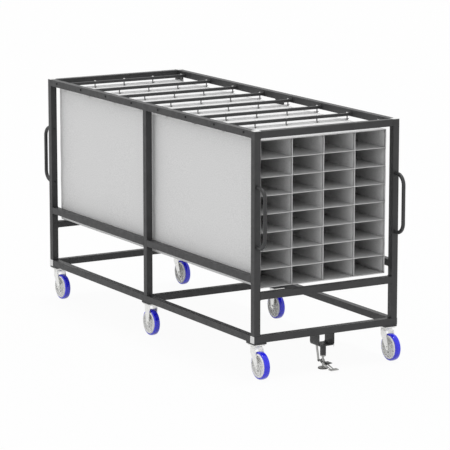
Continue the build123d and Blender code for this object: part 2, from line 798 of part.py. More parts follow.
def lock_release():
    """The small trip lever between the arms, with its pin and a foot pad."""
    reach = lever_arm_gap / 2 + lever_arm_thickness
    pin = rod_along((0, 1, 0), release_pin_radius, 2 * reach, (release_x, -reach, release_z))
    plane = Plane(origin=(0, -release_arm_width / 2, 0), x_dir=(1, 0, 0), z_dir=(0, -1, 0))
    eye = Pos(release_x, release_z) * RegularPolygon(release_arm_height, rod_sides)
    tip_x = lock_x + release_reach - release_pad_length / 2
    tip_z = release_z + release_rise
    tip = Pos(tip_x, tip_z) * Rectangle(release_pad_length, release_pad_thickness)
    arm = extrude(plane * make_hull(eye.edges() + tip.edges()), -release_arm_width)
    pad = Pos(tip_x, 0, tip_z) * Box(release_pad_length, release_pad_width, release_pad_thickness)
    return pin + arm + pad


def lock_spring():
    """The return spring's envelope around the shaft, between the guide and the shoulder."""
    shoulder_z = lock_post_bottom + shaft_top_rise - shaft_shoulder_height
    height = shoulder_z - lock_post_bottom
    tube = rod_along((0, 0, 1), spring_radius, height, (lock_x, 0, lock_post_bottom))
    return tube - rod_along((0, 0, 1), shaft_radius + spring_clearance, height, (lock_x, 0, lock_post_bottom))


def floor_lock():
    """The lock's bracket, post, straps, shaft, pad, lever and release."""
    save("lock_bracket", lock_bracket())
    save("lock_post", lock_post())
    save("lock_guide", lock_guide())
    save("lock_straps", *lock_straps())
    save("lock_shaft", lock_shaft())
    save("lock_foot_pad", lock_foot_pad())
    save("lock_pedal", lock_pedal())
    save("lock_release", lock_release())
    save("lock_spring", lock_spring())


frame()
casters()
handles()
bag_supports()
cell_bag()
floor_lock()
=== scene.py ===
import json
from math import cos, pi, radians, sin

import bpy
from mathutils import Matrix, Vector


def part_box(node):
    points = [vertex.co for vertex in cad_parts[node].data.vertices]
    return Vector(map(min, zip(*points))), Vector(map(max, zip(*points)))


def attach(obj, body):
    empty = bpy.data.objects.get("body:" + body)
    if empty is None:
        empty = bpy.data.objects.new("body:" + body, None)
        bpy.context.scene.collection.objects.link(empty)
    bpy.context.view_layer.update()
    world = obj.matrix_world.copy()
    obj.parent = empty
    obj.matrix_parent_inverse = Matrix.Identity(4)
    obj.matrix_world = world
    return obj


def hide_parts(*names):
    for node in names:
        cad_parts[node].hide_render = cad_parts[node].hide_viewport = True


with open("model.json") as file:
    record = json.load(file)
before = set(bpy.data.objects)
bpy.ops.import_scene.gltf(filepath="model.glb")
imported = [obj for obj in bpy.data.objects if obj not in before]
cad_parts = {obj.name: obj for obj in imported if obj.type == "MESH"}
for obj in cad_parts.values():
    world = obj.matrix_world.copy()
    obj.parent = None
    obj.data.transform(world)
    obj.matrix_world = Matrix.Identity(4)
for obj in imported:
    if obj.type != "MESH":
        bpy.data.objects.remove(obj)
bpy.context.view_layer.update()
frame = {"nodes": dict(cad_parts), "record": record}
nodes = frame["nodes"]

MM = 0.001

# The camera, solved on the photo's straight tube edges
CAMERA_PLACE = Vector((17.1122, -9.9912, 4.5997))
CAMERA_YAW = 0.5325
CAMERA_PITCH = 0.18949
CAMERA_LENS = 210.3
SENSOR = 36.0
FAR_CLIP = 300

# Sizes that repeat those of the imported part
ENDS = (("front", 1), ("rear", -1))
WHEEL_NAMES = [f"{place}_{side}" for place in ("front", "middle", "rear") for side in ("near", "far")]
CLOTH = 2.5 * MM
COLUMNS = 4
ROWS = 8
CROSSBARS = 8


# Node trees

def add(tree, kind, inputs=None, **settings):
    """A shader node with its settings and inputs; an input is a value or another node's socket."""
    made = tree.nodes.new(kind)
    for name, value in settings.items():
        setattr(made, name, value)
    for key, value in (inputs or {}).items():
        if isinstance(value, bpy.types.NodeSocket):
            tree.links.new(value, made.inputs[key])
        else:
            made.inputs[key].default_value = value
    return made


def maths(tree, operation, *values):
    """The result of a maths node on values or sockets."""
    return add(tree, "ShaderNodeMath", dict(enumerate(values)), operation=operation).outputs[0]


def start_material(name, constants):
    """A material with constants on its shader's own sockets, its tree and the object's coordinates."""
    material = bpy.data.materials.new(name)
    material.use_nodes = True
    tree = material.node_tree
    shader = tree.nodes["Principled BSDF"]
    for key, value in constants.items():
        shader.inputs[key].default_value = value
    place = add(tree, "ShaderNodeTexCoord").outputs["Object"]
    return material, tree, shader, place


NOISE_LOW = 0.3
NOISE_HIGH = 0.7
GLOSS_FINENESS = 2.3


def noise(tree, place, scale, detail=3.0):
    """A noise value."""
    return add(tree, "ShaderNodeTexNoise", {"Vector": place, "Scale": scale, "Detail": detail}).outputs["Fac"]


def spread(tree, value, low, high):
    """A noise value's middle part carried to another range."""
    inputs = {"Value": value, "From Min": NOISE_LOW, "From Max": NOISE_HIGH, "To Min": low, "To Max": high}
    return add(tree, "ShaderNodeMapRange", inputs).outputs["Result"]


def blend_colours(tree, value, first, second):
    """A colour between two, by the value."""
    mix = add(tree, "ShaderNodeMix", data_type="RGBA")
    tree.links.new(value, mix.inputs[0])
    mix.inputs[6].default_value = (*first, 1)
    mix.inputs[7].default_value = (*second, 1)
    return mix.outputs[2]


def bump(tree, shader, height, distance):
    """Relief on the shader's normal."""
    made = add(tree, "ShaderNodeBump", {"Height": height, "Distance": distance, "Strength": 1.0})
    tree.links.new(made.outputs["Normal"], shader.inputs["Normal"])


def finish_material(name, dark, light, patch, rough, grain, relief, **constants):
    """A finish with mottled colour, uneven gloss and a fine relief.

    patch is the colour patches' scale and grain the relief's, per metre; rough is the gloss range,
    and relief is in millimetres."""
    material, tree, shader, place = start_material(name, constants)
    mottle = spread(tree, noise(tree, place, patch, 4.0), 0, 1)
    tree.links.new(blend_colours(tree, mottle, dark, light), shader.inputs["Base Color"])
    gloss = noise(tree, place, patch * GLOSS_FINENESS, 2.0)
    tree.links.new(spread(tree, gloss, *rough), shader.inputs["Roughness"])
    bump(tree, shader, noise(tree, place, grain, 2.0), relief * MM)
    return material


THREAD_PITCH = 1.4 * MM
CLOTH_RELIEF = 0.12 * MM
SPECKLE_SCALE = 130
SOIL_SCALE = 25
CREASE_SCALE = 9
CREASE_WEIGHT = 14.0
CLOTH_ROUGHNESS = (0.72, 0.9)


def cloth_material(name, across, along, dark, light):
    """Coated cloth: a plain weave along two axes under speckled, slightly soiled colour."""
    material, tree, shader, place = start_material(name, {"Sheen Weight": 0.15, "Specular IOR Level": 0.25})
    speckle = spread(tree, noise(tree, place, SPECKLE_SCALE), 0, 1)
    colour = blend_colours(tree, speckle, (dark, dark, dark), (light, light, light))
    tree.links.new(colour, shader.inputs["Base Color"])
    soil = noise(tree, place, SOIL_SCALE)
    tree.links.new(spread(tree, soil, *CLOTH_ROUGHNESS), shader.inputs["Roughness"])
    split = add(tree, "ShaderNodeSeparateXYZ", {"Vector": place}).outputs
    threads = [maths(tree, "SINE", maths(tree, "MULTIPLY", split[axis], 2 * pi / THREAD_PITCH))
               for axis in (across, along)]
    weave = maths(tree, "MULTIPLY", *threads)
    crease = maths(tree, "MULTIPLY", noise(tree, place, CREASE_SCALE), CREASE_WEIGHT)
    bump(tree, shader, maths(tree, "ADD", weave, crease), CLOTH_RELIEF)
    return material


PAINT = finish_material("charcoal_powder_coat", (0.022, 0.022, 0.023), (0.029, 0.029, 0.030), 14,
                        (0.42, 0.55), 1400, 0.08)
PLUG = finish_material("light_plug", (0.66, 0.66, 0.66), (0.74, 0.74, 0.73), 60, (0.45, 0.6), 900, 0.05)
ZINC = finish_material("bright_zinc", (0.74, 0.74, 0.73), (0.88, 0.88, 0.86), 90, (0.22, 0.42), 700, 0.05,
                       Metallic=0.85)
DULL_ZINC = finish_material("dull_zinc", (0.34, 0.34, 0.33), (0.47, 0.47, 0.46), 90, (0.3, 0.48), 700, 0.05,
                            Metallic=0.8)
BRIGHT = finish_material("bright_steel", (0.66, 0.66, 0.66), (0.76, 0.76, 0.76), 160, (0.2, 0.34), 900, 0.03,
                         Metallic=0.9)
BLACK_ZINC = finish_material("black_zinc", (0.007, 0.007, 0.008), (0.018, 0.018, 0.018), 120, (0.3, 0.45),
                             900, 0.04, Metallic=0.4)
CORE = finish_material("moulded_core", (0.72, 0.72, 0.71), (0.82, 0.82, 0.81), 70, (0.35, 0.5), 600, 0.06)
TREAD = finish_material("blue_tread", (0.006, 0.006, 0.62), (0.014, 0.014, 0.80), 40, (0.07, 0.13), 500, 0.02,
                        **{"Coat Weight": 0.35, "Coat Roughness": 0.04})
PAD = finish_material("grey_rubber", (0.10, 0.095, 0.09), (0.16, 0.155, 0.15), 80, (0.6, 0.8), 1100, 0.12)
SIDE_CLOTH = cloth_material("bag_cloth_upright", 0, 2, 0.61, 0.74)
# The level sheets' cloth is the upright sheets' cloth painted darker, as painted shade inside the cells.
PAINTED_SHADE_SHELF_CLOTH = cloth_material("bag_cloth_level_painted_shade", 0, 1, 0.40, 0.53)
# The top sheet's and the sleeves' cloth is the same cloth painted lighter, as painted light from above that
# also lifts the shade under the crossbars.
PAINTED_LIGHT_TOP_CLOTH = cloth_material("bag_cloth_top_painted_light", 0, 1, 0.68, 0.80)
TAPE = finish_material("binding_tape", (0.54, 0.54, 0.54), (0.62, 0.62, 0.62), 200, (0.7, 0.85), 1500, 0.15)
THREAD = finish_material("thread", (0.56, 0.56, 0.55), (0.64, 0.64, 0.63), 500, (0.5, 0.7), 2500, 0.1)
STEM = finish_material("dull_steel", (0.13, 0.13, 0.13), (0.2, 0.2, 0.2), 160, (0.4, 0.55), 900, 0.04,
                       Metallic=0.6)

SLOT_MATERIALS = {"frame_paint": PAINT, "plug_plastic": PLUG, "zinc_plate": ZINC, "black_zinc": BLACK_ZINC,
                  "bright_steel": BRIGHT, "wheel_core": CORE, "wheel_tread": TREAD, "pad_rubber": PAD,
                  "bag_cloth": SIDE_CLOTH}
NODE_MATERIALS = {"lock_pedal": DULL_ZINC, "lock_shaft": DULL_ZINC, "lock_guide": DULL_ZINC,
                  "lock_straps": DULL_ZINC}


# Carried-over nodes

BEND_RADIUS = {"frame_paint": 2.6 * MM, "plug_plastic": 0.8 * MM, "zinc_plate": 0.7 * MM,
               "black_zinc": 0.5 * MM, "pad_rubber": 0.8 * MM}
BEND_ANGLE = 50
MERGE_REACH = 0.01 * MM


def add_bevel(piece, width, segments, angle):
    """Round the edges that turn by more than the angle, in degrees."""
    bevel = piece.modifiers.new("soften", "BEVEL")
    bevel.width = width
    bevel.segments = segments
    bevel.limit_method = "ANGLE"
    bevel.angle_limit = radians(angle)


def dress_nodes():
    """Give each node its finish, soften its edges and let its round faces shade smoothly."""
    for part in frame["record"]["subparts"]:
        node = nodes[part["node"]]
        slot = part["material_slot"]
        node.data.materials.clear()
        node.data.materials.append(NODE_MATERIALS.get(part["node"], SLOT_MATERIALS[slot]))
        for face in node.data.polygons:
            face.use_smooth = True
        weld = node.modifiers.new("weld", "WELD")
        weld.merge_threshold = MERGE_REACH
        if slot in BEND_RADIUS:
            add_bevel(node, BEND_RADIUS[slot], segments=3, angle=BEND_ANGLE)
        even = node.modifiers.new("even", "WEIGHTED_NORMAL")
        even.keep_sharp = True


# Shapes built from points and faces

WASHER_THICKNESS = 1.2 * MM
WASHER_BORE_SHARE = 0.3
WASHER_SEGMENTS = 20
HEX_SIDES = 6
HEAD_CHAMFER_SHARE = 0.14

# Edges that turn by more than this, in degrees, stay sharp
PRESSED_TURN = 35
BAR_TURN = 40
CURVED_TURN = 50


class Shape:
    """Points and faces gathered into one piece."""

    def __init__(self):
        self.points = []
        self.faces = []

    def add(self, points, faces):
        start = len(self.points)
        self.points += [Vector(p) for p in points]
        self.faces += [[start + i for i in face] for face in faces]

    def piece(self, name, material, body, slot, smooth=True):
        """The finished object, riding on its body."""
        mesh = bpy.data.meshes.new(name)
        mesh.from_pydata(self.points, [], self.faces)
        mesh.validate()
        mesh.materials.append(material)
        for face in mesh.polygons:
            face.use_smooth = smooth
        made = bpy.data.objects.new(name, mesh)
        bpy.context.scene.collection.objects.link(made)
        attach(made, body)
        return made


def smooth_by_angle(piece, angle):
    """Shade smoothly across edges that turn by less than the angle, in degrees."""
    for face in piece.data.polygons:
        face.use_smooth = True
    piece.data.set_sharp_from_angle(angle=radians(angle))


def soften(piece, width):
    """Round the sharp edges and shade the rest smoothly."""
    add_bevel(piece, width, segments=2, angle=PRESSED_TURN)
    smooth_by_angle(piece, PRESSED_TURN)


def profile(*points):
    """A small section written in millimetres, as radius and distance along the axis."""
    return [(radius * MM, along * MM) for radius, along in points]


def offset(points, out, up):
    """A section's points moved out and up."""
    return [(radius + out, along + up) for radius, along in points]


def rectangle(width, low, high):
    """An outline that is centred on its width."""
    return [(-width / 2, low), (width / 2, low), (width / 2, high), (-width / 2, high)]


def tube_faces(rings, count):
    """The faces round a closed tube of rings with count points each, and over its two ends."""
    last = (rings - 1) * count
    faces = []
    for here in range(0, last, count):
        for j in range(count):
            k = (j + 1) % count
            faces.append((here + j, here + k, here + count + k, here + count + j))
    return faces + [list(range(count)), [last + j for j in reversed(range(count))]]


def turned(shape, section, origin, axis, segments, closed=True):
    """A section of (radius, distance along the axis) turned about the axis."""
    axis = Vector(axis).normalized()
    first = axis.orthogonal().normalized()
    second = axis.cross(first)
    points = []
    for i in range(segments):
        angle = 2 * pi * i / segments
        out = first * cos(angle) + second * sin(angle)
        points += [Vector(origin) + out * radius + axis * along for radius, along in section]
    count = len(section)
    faces = []
    for i in range(segments):
        here = i * count
        there = (i + 1) % segments * count
        for j in range(count if closed else count - 1):
            k = (j + 1) % count
            faces.append((here + j, here + k, there + k, there + j))
    if not closed:
        faces.append([i * count for i in range(segments)])
        faces.append([i * count + count - 1 for i in reversed(range(segments))])
    shape.add(points, faces)


def swept(shape, path, section, inward, normal):
    """A closed section of (inward, normal) distances carried along a path."""
    inward = Vector(inward)
    normal = Vector(normal)
    shape.add([p + inward * a + normal * b for p in path for a, b in section],
              tube_faces(len(path), len(section)))


def round_bar(shape, path, side, radius, segments):
    """A round bar along a flat path of (place, inward direction); side is square to the path's plane."""
    side = Vector(side)
    turns = [2 * pi * i / segments for i in range(segments)]
    shape.add([place + inward * radius * cos(turn) + side * radius * sin(turn)
               for place, inward in path for turn in turns], tube_faces(len(path), segments))


def slab(shape, outline, place, low, high):
    """A flat outline in X and Z given a thickness from low to high along Y."""
    count = len(outline)
    points = [place + Vector((x, y, z)) for y in (low, high) for x, z in outline]
    faces = [list(range(count)), [count + i for i in reversed(range(count))]]
    faces += [(i, (i + 1) % count, count + (i + 1) % count, count + i) for i in range(count)]
    shape.add(points, faces)


def grid(shape, point, across, along):
    """A sheet of quads; point gives the place for two shares from 0 to 1."""
    points = [point(i / across, j / along) for i in range(across + 1) for j in range(along + 1)]
    row = along + 1
    faces = [(i * row + j, (i + 1) * row + j, (i + 1) * row + j + 1, i * row + j + 1)
             for i in range(across) for j in range(along)]
    shape.add(points, faces)


def hex_head(shape, place, axis, radius, height, washer):
    """A six-sided head with chamfered corners on a washer."""
    bore = WASHER_BORE_SHARE * washer
    ring = [(bore, 0), (washer, 0), (washer, WASHER_THICKNESS), (bore, WASHER_THICKNESS)]
    turned(shape, ring, place, axis, WASHER_SEGMENTS)
    base = Vector(place) + Vector(axis).normalized() * WASHER_THICKNESS
    chamfer = HEAD_CHAMFER_SHARE * radius
    head = [(radius, 0), (radius, height - chamfer), (radius - chamfer, height)]
    turned(shape, head, base, axis, HEX_SIDES, False)


# Weld beads at the frame's inner corners

TUBE = 50.8 * MM
BEAD = 4.0 * MM
BEAD_RIPPLE = 3.2 * MM
BEAD_ROOT = 0.2 * MM
BEAD_ARCS = 4
BEAD_DIP_SHARE = 0.84
TOUCH = 0.1 * MM


def tube_boxes():
    """Each welded tube as its low corner, its high corner and the axis that it runs along."""
    rail_low, rail_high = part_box("base_end_rail_front")
    length = rail_high.x
    width = rail_high.y
    base = rail_low.z
    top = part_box("corner_post_front_near")[1].z
    side_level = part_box("middle_side_rails")[0].z
    end_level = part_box("middle_end_rails")[0].z
    inner_x = length - TUBE
    inner_y = width - TUBE
    boxes = []

    def tube(x, y, z, axis):
        boxes.append(((x[0], y[0], z[0]), (x[1], y[1], z[1]), axis))

    for side in (-1, 1):
        y = sorted((side * inner_y, side * width))
        for end in (-1, 1):
            tube(sorted((end * inner_x, end * length)), y, (base + TUBE, top), 2)
        tube((-TUBE / 2, TUBE / 2), y, (base + TUBE, top - TUBE), 2)
        tube((-inner_x, inner_x), y, (base, base + TUBE), 0)
        tube((-inner_x, inner_x), y, (top - TUBE, top), 0)
        for bay in ((-inner_x, -TUBE / 2), (TUBE / 2, inner_x)):
            tube(bay, y, (side_level, side_level + TUBE), 0)
    for end in (-1, 1):
        x = sorted((end * inner_x, end * length))
        tube(x, (-width, width), (base, base + TUBE), 1)
        tube(x, (-inner_y, inner_y), (end_level, end_level + TUBE), 1)
        tube(x, (-inner_y, inner_y), (top - TUBE, top), 1)
    tube((-TUBE / 2, TUBE / 2), (-inner_y, inner_y), (base, base + TUBE), 1)
    return boxes


def tube_joints():
    """Each tube's corners, axis, end and its sign, with the corners of a tube that the end meets."""
    boxes = tube_boxes()
    for low, high, axis in boxes:
        others = [i for i in range(3) if i != axis]
        for plane, sign in ((low[axis], -1), (high[axis], 1)):
            for other_low, other_high, _ in boxes:
                meets = abs((other_high if sign < 0 else other_low)[axis] - plane) < TOUCH
                covers = all(other_low[i] < high[i] - TOUCH and other_high[i] > low[i] + TOUCH
                             for i in others)
                if meets and covers:
                    yield low, high, axis, plane, sign, other_low, other_high


def bead(shape, start, stop, wall, face):
    """A rippled fillet from start to stop in the corner between a wall and a face, given by their normals."""
    steps = max(2, round((stop - start).length / BEAD_RIPPLE * 2))
    turns = [pi / 2 * i / BEAD_ARCS for i in range(BEAD_ARCS + 1)]
    points = []
    for i in range(steps + 1):
        place = start.lerp(stop, i / steps)
        size = BEAD * (1.0 if i % 2 else BEAD_DIP_SHARE)
        points.append(place - wall * BEAD_ROOT - face * BEAD_ROOT)
        points += [place + wall * size * cos(turn) + face * size * sin(turn) for turn in turns]
    shape.add(points, tube_faces(steps + 1, len(turns) + 1))


def weld_beads():
    """A bead on each side of a tube's end where the tube that it meets runs on past that side."""
    shape = Shape()
    for low, high, axis, plane, sign, other_low, other_high in tube_joints():
        others = [i for i in range(3) if i != axis]
        for i, run in (others, others[::-1]):
            for value, way in ((low[i], -1), (high[i], 1)):
                reach = other_high[i] - value if way > 0 else value - other_low[i]
                if reach < BEAD:
                    continue
                start = Vector((0, 0, 0))
                start[axis] = plane
                start[i] = value
                stop = start.copy()
                start[run] = max(low[run], other_low[run])
                stop[run] = min(high[run], other_high[run])
                wall = Vector((0, 0, 0))
                wall[i] = way
                face = Vector((0, 0, 0))
                face[axis] = -sign
                bead(shape, start, stop, wall, face)
    shape.piece("weld_beads", PAINT, "frame", "frame_paint")


# Wheels

WHEEL_SEGMENTS = 96
AXLE_AXIS = (0, 1, 0)
TREAD_SHOULDER = 9.0 * MM
TREAD_LAP = 6.0 * MM
CROWN_SHARE = 0.15
SHOULDER_STEPS = 6
CROWN_STEPS = 4
FLANK_DEPTH = 4.0 * MM
RIM_DEPTH = 9.0 * MM
HUB_RADIUS = 24.0 * MM
BORE_RADIUS = 9.6 * MM
WEB_HALF = 6.0 * MM
CORE_EDGE = 1.5 * MM
CORE_SOFTNESS = 0.6 * MM
CORE_RIBS = 4
RIB_WIDTH = 4.8 * MM
RIB_INSET = 9.0 * MM
RIB_TURN_SHARE = 1 / 6
SEAL_RADIUS = 16.0 * MM
SEAL_CLEARANCE = 0.6 * MM
SEAL_THICKNESS = 0.5 * MM
SEAL_SINK = 0.2 * MM
SEAL_SEGMENTS = 48
# Dark plugs on the web: partly real, partly painted shade in the web's recess.
WEB_PLUG_AND_SHADE = profile((6, 0), (6, 1.2), (4.4, 1.9))
WEB_PLUG_AND_SHADE_PLACE = 50.0 * MM
WEB_PLUG_AND_SHADE_TURN_SHARE = 2 / 3
WEB_PLUG_AND_SHADE_SEGMENTS = 24


def mirrored(side):
    """A section's upper half carried over to below its middle."""
    return [(radius, -along) for radius, along in reversed(side)]


def wheel_tread(name, centre, half, inner, outer):
    """A crowned tyre with rounded shoulders."""
    start = outer - TREAD_SHOULDER
    crown = half - TREAD_SHOULDER
    side = [(inner, half), (start, half)]
    for i in range(1, SHOULDER_STEPS):
        turn = pi / 2 * (1 - i / SHOULDER_STEPS)
        radius = start + (1 - CROWN_SHARE) * TREAD_SHOULDER * cos(turn)
        side.append((radius, crown + TREAD_SHOULDER * sin(turn)))
    for i in range(CROWN_STEPS):
        share = 1 - i / CROWN_STEPS
        side.append((outer - CROWN_SHARE * TREAD_SHOULDER * share ** 2, crown * share))
    shape = Shape()
    turned(shape, side + [(outer, 0)] + mirrored(side), centre, AXLE_AXIS, WHEEL_SEGMENTS)
    made = shape.piece(f"tread_{name}", TREAD, f"wheel_{name}", "wheel_tread")
    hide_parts(f"wheel_tread_{name}")


def wheel_core(name, centre, half, inner, core_half):
    """A moulded core: hub, web and rim in one section, with ribs from the hub to the rim."""
    flank = inner - FLANK_DEPTH
    rim = flank - RIM_DEPTH
    side = [(BORE_RADIUS, core_half), (HUB_RADIUS - CORE_EDGE, core_half),
            (HUB_RADIUS, core_half - CORE_EDGE), (HUB_RADIUS + 2 * CORE_EDGE, WEB_HALF + 2 * CORE_EDGE),
            (HUB_RADIUS + 4 * CORE_EDGE, WEB_HALF), (rim - 4 * CORE_EDGE, WEB_HALF),
            (rim - CORE_EDGE, WEB_HALF + 2 * CORE_EDGE), (rim, core_half - CORE_EDGE),
            (rim + CORE_EDGE, core_half), (flank - CORE_EDGE, core_half),
            (flank, core_half - CORE_EDGE / 2), (inner, half)]
    shape = Shape()
    turned(shape, side + mirrored(side), centre, AXLE_AXIS, WHEEL_SEGMENTS)
    section = rectangle(RIB_WIDTH, RIB_INSET - core_half, core_half - RIB_INSET)
    for i in range(CORE_RIBS):
        angle = 2 * pi * (i + RIB_TURN_SHARE) / CORE_RIBS
        out = Vector((cos(angle), 0, sin(angle)))
        across = Vector((-sin(angle), 0, cos(angle)))
        path = [centre + out * (HUB_RADIUS - CORE_EDGE), centre + out * (rim + CORE_EDGE)]
        swept(shape, path, section, across, AXLE_AXIS)
    made = shape.piece(f"core_{name}", CORE, f"wheel_{name}", "wheel_core", smooth=False)
    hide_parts(f"wheel_core_{name}")
    soften(made, CORE_SOFTNESS)


def hub_seals(name, centre, core_half):
    """The dark seal on each face of the hub and the dark plugs on the web between the ribs; the plugs are
    partly real and partly painted shade in the web's recess.
    """
    bore = BORE_RADIUS + SEAL_CLEARANCE
    ring = [(bore, 0), (SEAL_RADIUS, 0), (SEAL_RADIUS, SEAL_THICKNESS), (bore, SEAL_THICKNESS)]
    shape = Shape()
    for way in (-1, 1):
        face = centre + Vector((0, way * (core_half - SEAL_SINK), 0))
        turned(shape, ring, face, (0, way, 0), SEAL_SEGMENTS)
        for i in range(CORE_RIBS):
            angle = 2 * pi * (i + WEB_PLUG_AND_SHADE_TURN_SHARE) / CORE_RIBS
            out = Vector((cos(angle), 0, sin(angle))) * WEB_PLUG_AND_SHADE_PLACE
            spot = centre + out + Vector((0, way * WEB_HALF, 0))
            turned(shape, WEB_PLUG_AND_SHADE, spot, (0, way, 0), WEB_PLUG_AND_SHADE_SEGMENTS, False)
    shape.piece(f"hub_seals_{name}", BLACK_ZINC, f"wheel_{name}", "black_zinc")


def wheel(name):
    """One caster's tread, core and seals, about the centre of its solid tread."""
    low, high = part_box(f"wheel_tread_{name}")
    core_low, core_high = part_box(f"wheel_core_{name}")
    centre = (low + high) / 2
    half = (high.y - low.y) / 2
    inner = (core_high.z - core_low.z) / 2 - TREAD_LAP
    core_half = (core_high.y - core_low.y) / 2
    wheel_tread(name, centre, half, inner, (high.z - low.z) / 2)
    wheel_core(name, centre, half, inner, core_half)
    hub_seals(name, centre, core_half)


# Forks and plates

FORK_GAP = 61.0 * MM
FORK_PLATE = 6.4 * MM
FORK_EYE = 19.0 * MM
FORK_SKIRT = 40.0 * MM
FORK_HEEL = 22.0 * MM
FORK_TOE = 37.0 * MM
FORK_BEND = 7.0 * MM
FORK_SOFTNESS = 0.9 * MM
CROWN_THICKNESS = 8.0 * MM
BEND_STEPS = 8
EYE_SEGMENTS = 56
EYE_RING = profile((12.6, 0), (12.6, 0.9), (11.6, 1.4), (7, 1.4))
EYE_RING_SEGMENTS = 40
RACE_SEGMENTS = 72
RACE_RADIUS = 43.0 * MM
RACE_HEIGHT = 8.4 * MM
RACE_BORE = 11.0 * MM
RACE_SINK = 0.2 * MM
RACE_LIP = 4.0 * MM
LIP_STEPS = 5


def hull(points):
    """The outline round a set of flat points, counterclockwise."""
    points = sorted(set(points))
    outline = []
    for run in (points, points[::-1]):
        part = []
        for p in run:
            while len(part) > 1 and ((part[-1][0] - part[-2][0]) * (p[1] - part[-2][1])
                                     <= (part[-1][1] - part[-2][1]) * (p[0] - part[-2][0])):
                part.pop()
            part.append(p)
        outline += part[:-1]
    return outline


def lip(radius, height):
    """The rounded outer edge of a race, up to its height."""
    turns = [pi / 2 * i / LIP_STEPS for i in range(1, LIP_STEPS + 1)]
    return [(radius - RACE_LIP * (1 - cos(turn)), height - RACE_LIP * (1 - sin(turn))) for turn in turns]


def fork_legs(shape, axle, back, ahead, crown):
    """Two legs that narrow from the crown's bend to round eyes, each with a raised ring round its eye."""
    turns = [2 * pi * i / EYE_SEGMENTS for i in range(EYE_SEGMENTS)]
    eye = [(FORK_EYE * cos(turn), FORK_EYE * sin(turn)) for turn in turns]
    outline = hull(eye + [(back, crown), (ahead, crown), (back, crown - FORK_SKIRT)])
    cut = crown - FORK_BEND
    upper = [(back, cut), (ahead + (FORK_EYE - ahead) * FORK_BEND / crown, cut)]
    leg = hull([p for p in outline if p[1] < cut] + upper)
    inner = FORK_GAP / 2
    outer = inner + FORK_PLATE
    for way in (-1, 1):
        slab(shape, leg, axle, *sorted((way * inner, way * outer)))
        face = axle + Vector((0, way * outer, 0))
        turned(shape, EYE_RING, face, (0, way, 0), EYE_RING_SEGMENTS, False)


def fork_crown(shape, axle, back, ahead, crown):
    """The crown over the legs, with its corners bent round."""
    half = FORK_GAP / 2 + FORK_PLATE
    turns = [pi / 2 * i / BEND_STEPS for i in range(BEND_STEPS + 1)]
    arc = [(half - FORK_BEND * (1 - cos(turn)), crown - FORK_BEND * (1 - sin(turn))) for turn in turns]
    foot = (half - FORK_PLATE, crown - FORK_BEND)
    corner = (half - FORK_PLATE, crown - CROWN_THICKNESS)
    right = [foot] + arc
    section = right + [(-y, z) for y, z in reversed(right)] + [(-corner[0], corner[1]), corner]
    path = [axle + Vector((back, 0, 0)), axle + Vector((ahead, 0, 0))]
    swept(shape, path, section, (0, 1, 0), (0, 0, 1))


def fork(name, swivels):
    """A pressed fork, with the lower race on its crown if it swivels."""
    low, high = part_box(f"caster_fork_{name}")
    wheel_low, wheel_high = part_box(f"wheel_tread_{name}")
    axle = (wheel_low + wheel_high) / 2
    top = high.z - (RACE_HEIGHT if swivels else 0)
    stem = low.x + RACE_RADIUS if swivels else axle.x
    back = stem - (FORK_HEEL if swivels else FORK_TOE) - axle.x
    ahead = stem + FORK_TOE - axle.x
    shape = Shape()
    fork_legs(shape, axle, back, ahead, top - axle.z)
    fork_crown(shape, axle, back, ahead, top - axle.z)
    if swivels:
        race = [(RACE_RADIUS, 0), (RACE_RADIUS, RACE_HEIGHT - RACE_LIP)] + lip(RACE_RADIUS, RACE_HEIGHT)
        race += [(RACE_BORE, RACE_HEIGHT), (RACE_BORE, 0)]
        turned(shape, race, (stem, axle.y, top - RACE_SINK), (0, 0, 1), RACE_SEGMENTS)
    body = f"swivel_{name}" if swivels else "frame"
    made = shape.piece(f"fork_{name}", ZINC, body, "zinc_plate", smooth=False)
    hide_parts(f"caster_fork_{name}")
    soften(made, FORK_SOFTNESS)


PLATE_LENGTH = 106.0 * MM
PLATE_WIDTH = 94.0 * MM
PLATE_CORNER = 8.0 * MM
PLATE_THICKNESS = 6.4 * MM
PLATE_SOFTNESS = 0.7 * MM
UPPER_RACE = 45.0 * MM
UPPER_RACE_HEIGHT = 10.0 * MM
UPPER_RACE_BORE = 9.5 * MM
KINGPIN_RADIUS = 9.4 * MM
KINGPIN_TOP = -1.0 * MM
KINGPIN_SEGMENTS = 32
KINGPIN_NUT = 15.0 * MM
KINGPIN_NUT_HEIGHT = 4.0 * MM


def kingpin(shape, place, foot):
    """A swivel plate's upper race, the kingpin down to its foot and the nut there."""
    race = [(UPPER_RACE_BORE, 0), (UPPER_RACE, 0), (UPPER_RACE, RACE_LIP - UPPER_RACE_HEIGHT)]
    race += [(radius, -drop) for radius, drop in lip(UPPER_RACE, UPPER_RACE_HEIGHT)]
    race.append((UPPER_RACE_BORE, -UPPER_RACE_HEIGHT))
    turned(shape, race, place, (0, 0, 1), RACE_SEGMENTS)
    pin = [(KINGPIN_RADIUS, foot), (KINGPIN_RADIUS, KINGPIN_TOP)]
    turned(shape, pin, place, (0, 0, 1), KINGPIN_SEGMENTS, False)
    nut = [(KINGPIN_NUT, foot), (KINGPIN_NUT, foot + KINGPIN_NUT_HEIGHT)]
    turned(shape, nut, place, (0, 0, 1), HEX_SIDES, False)


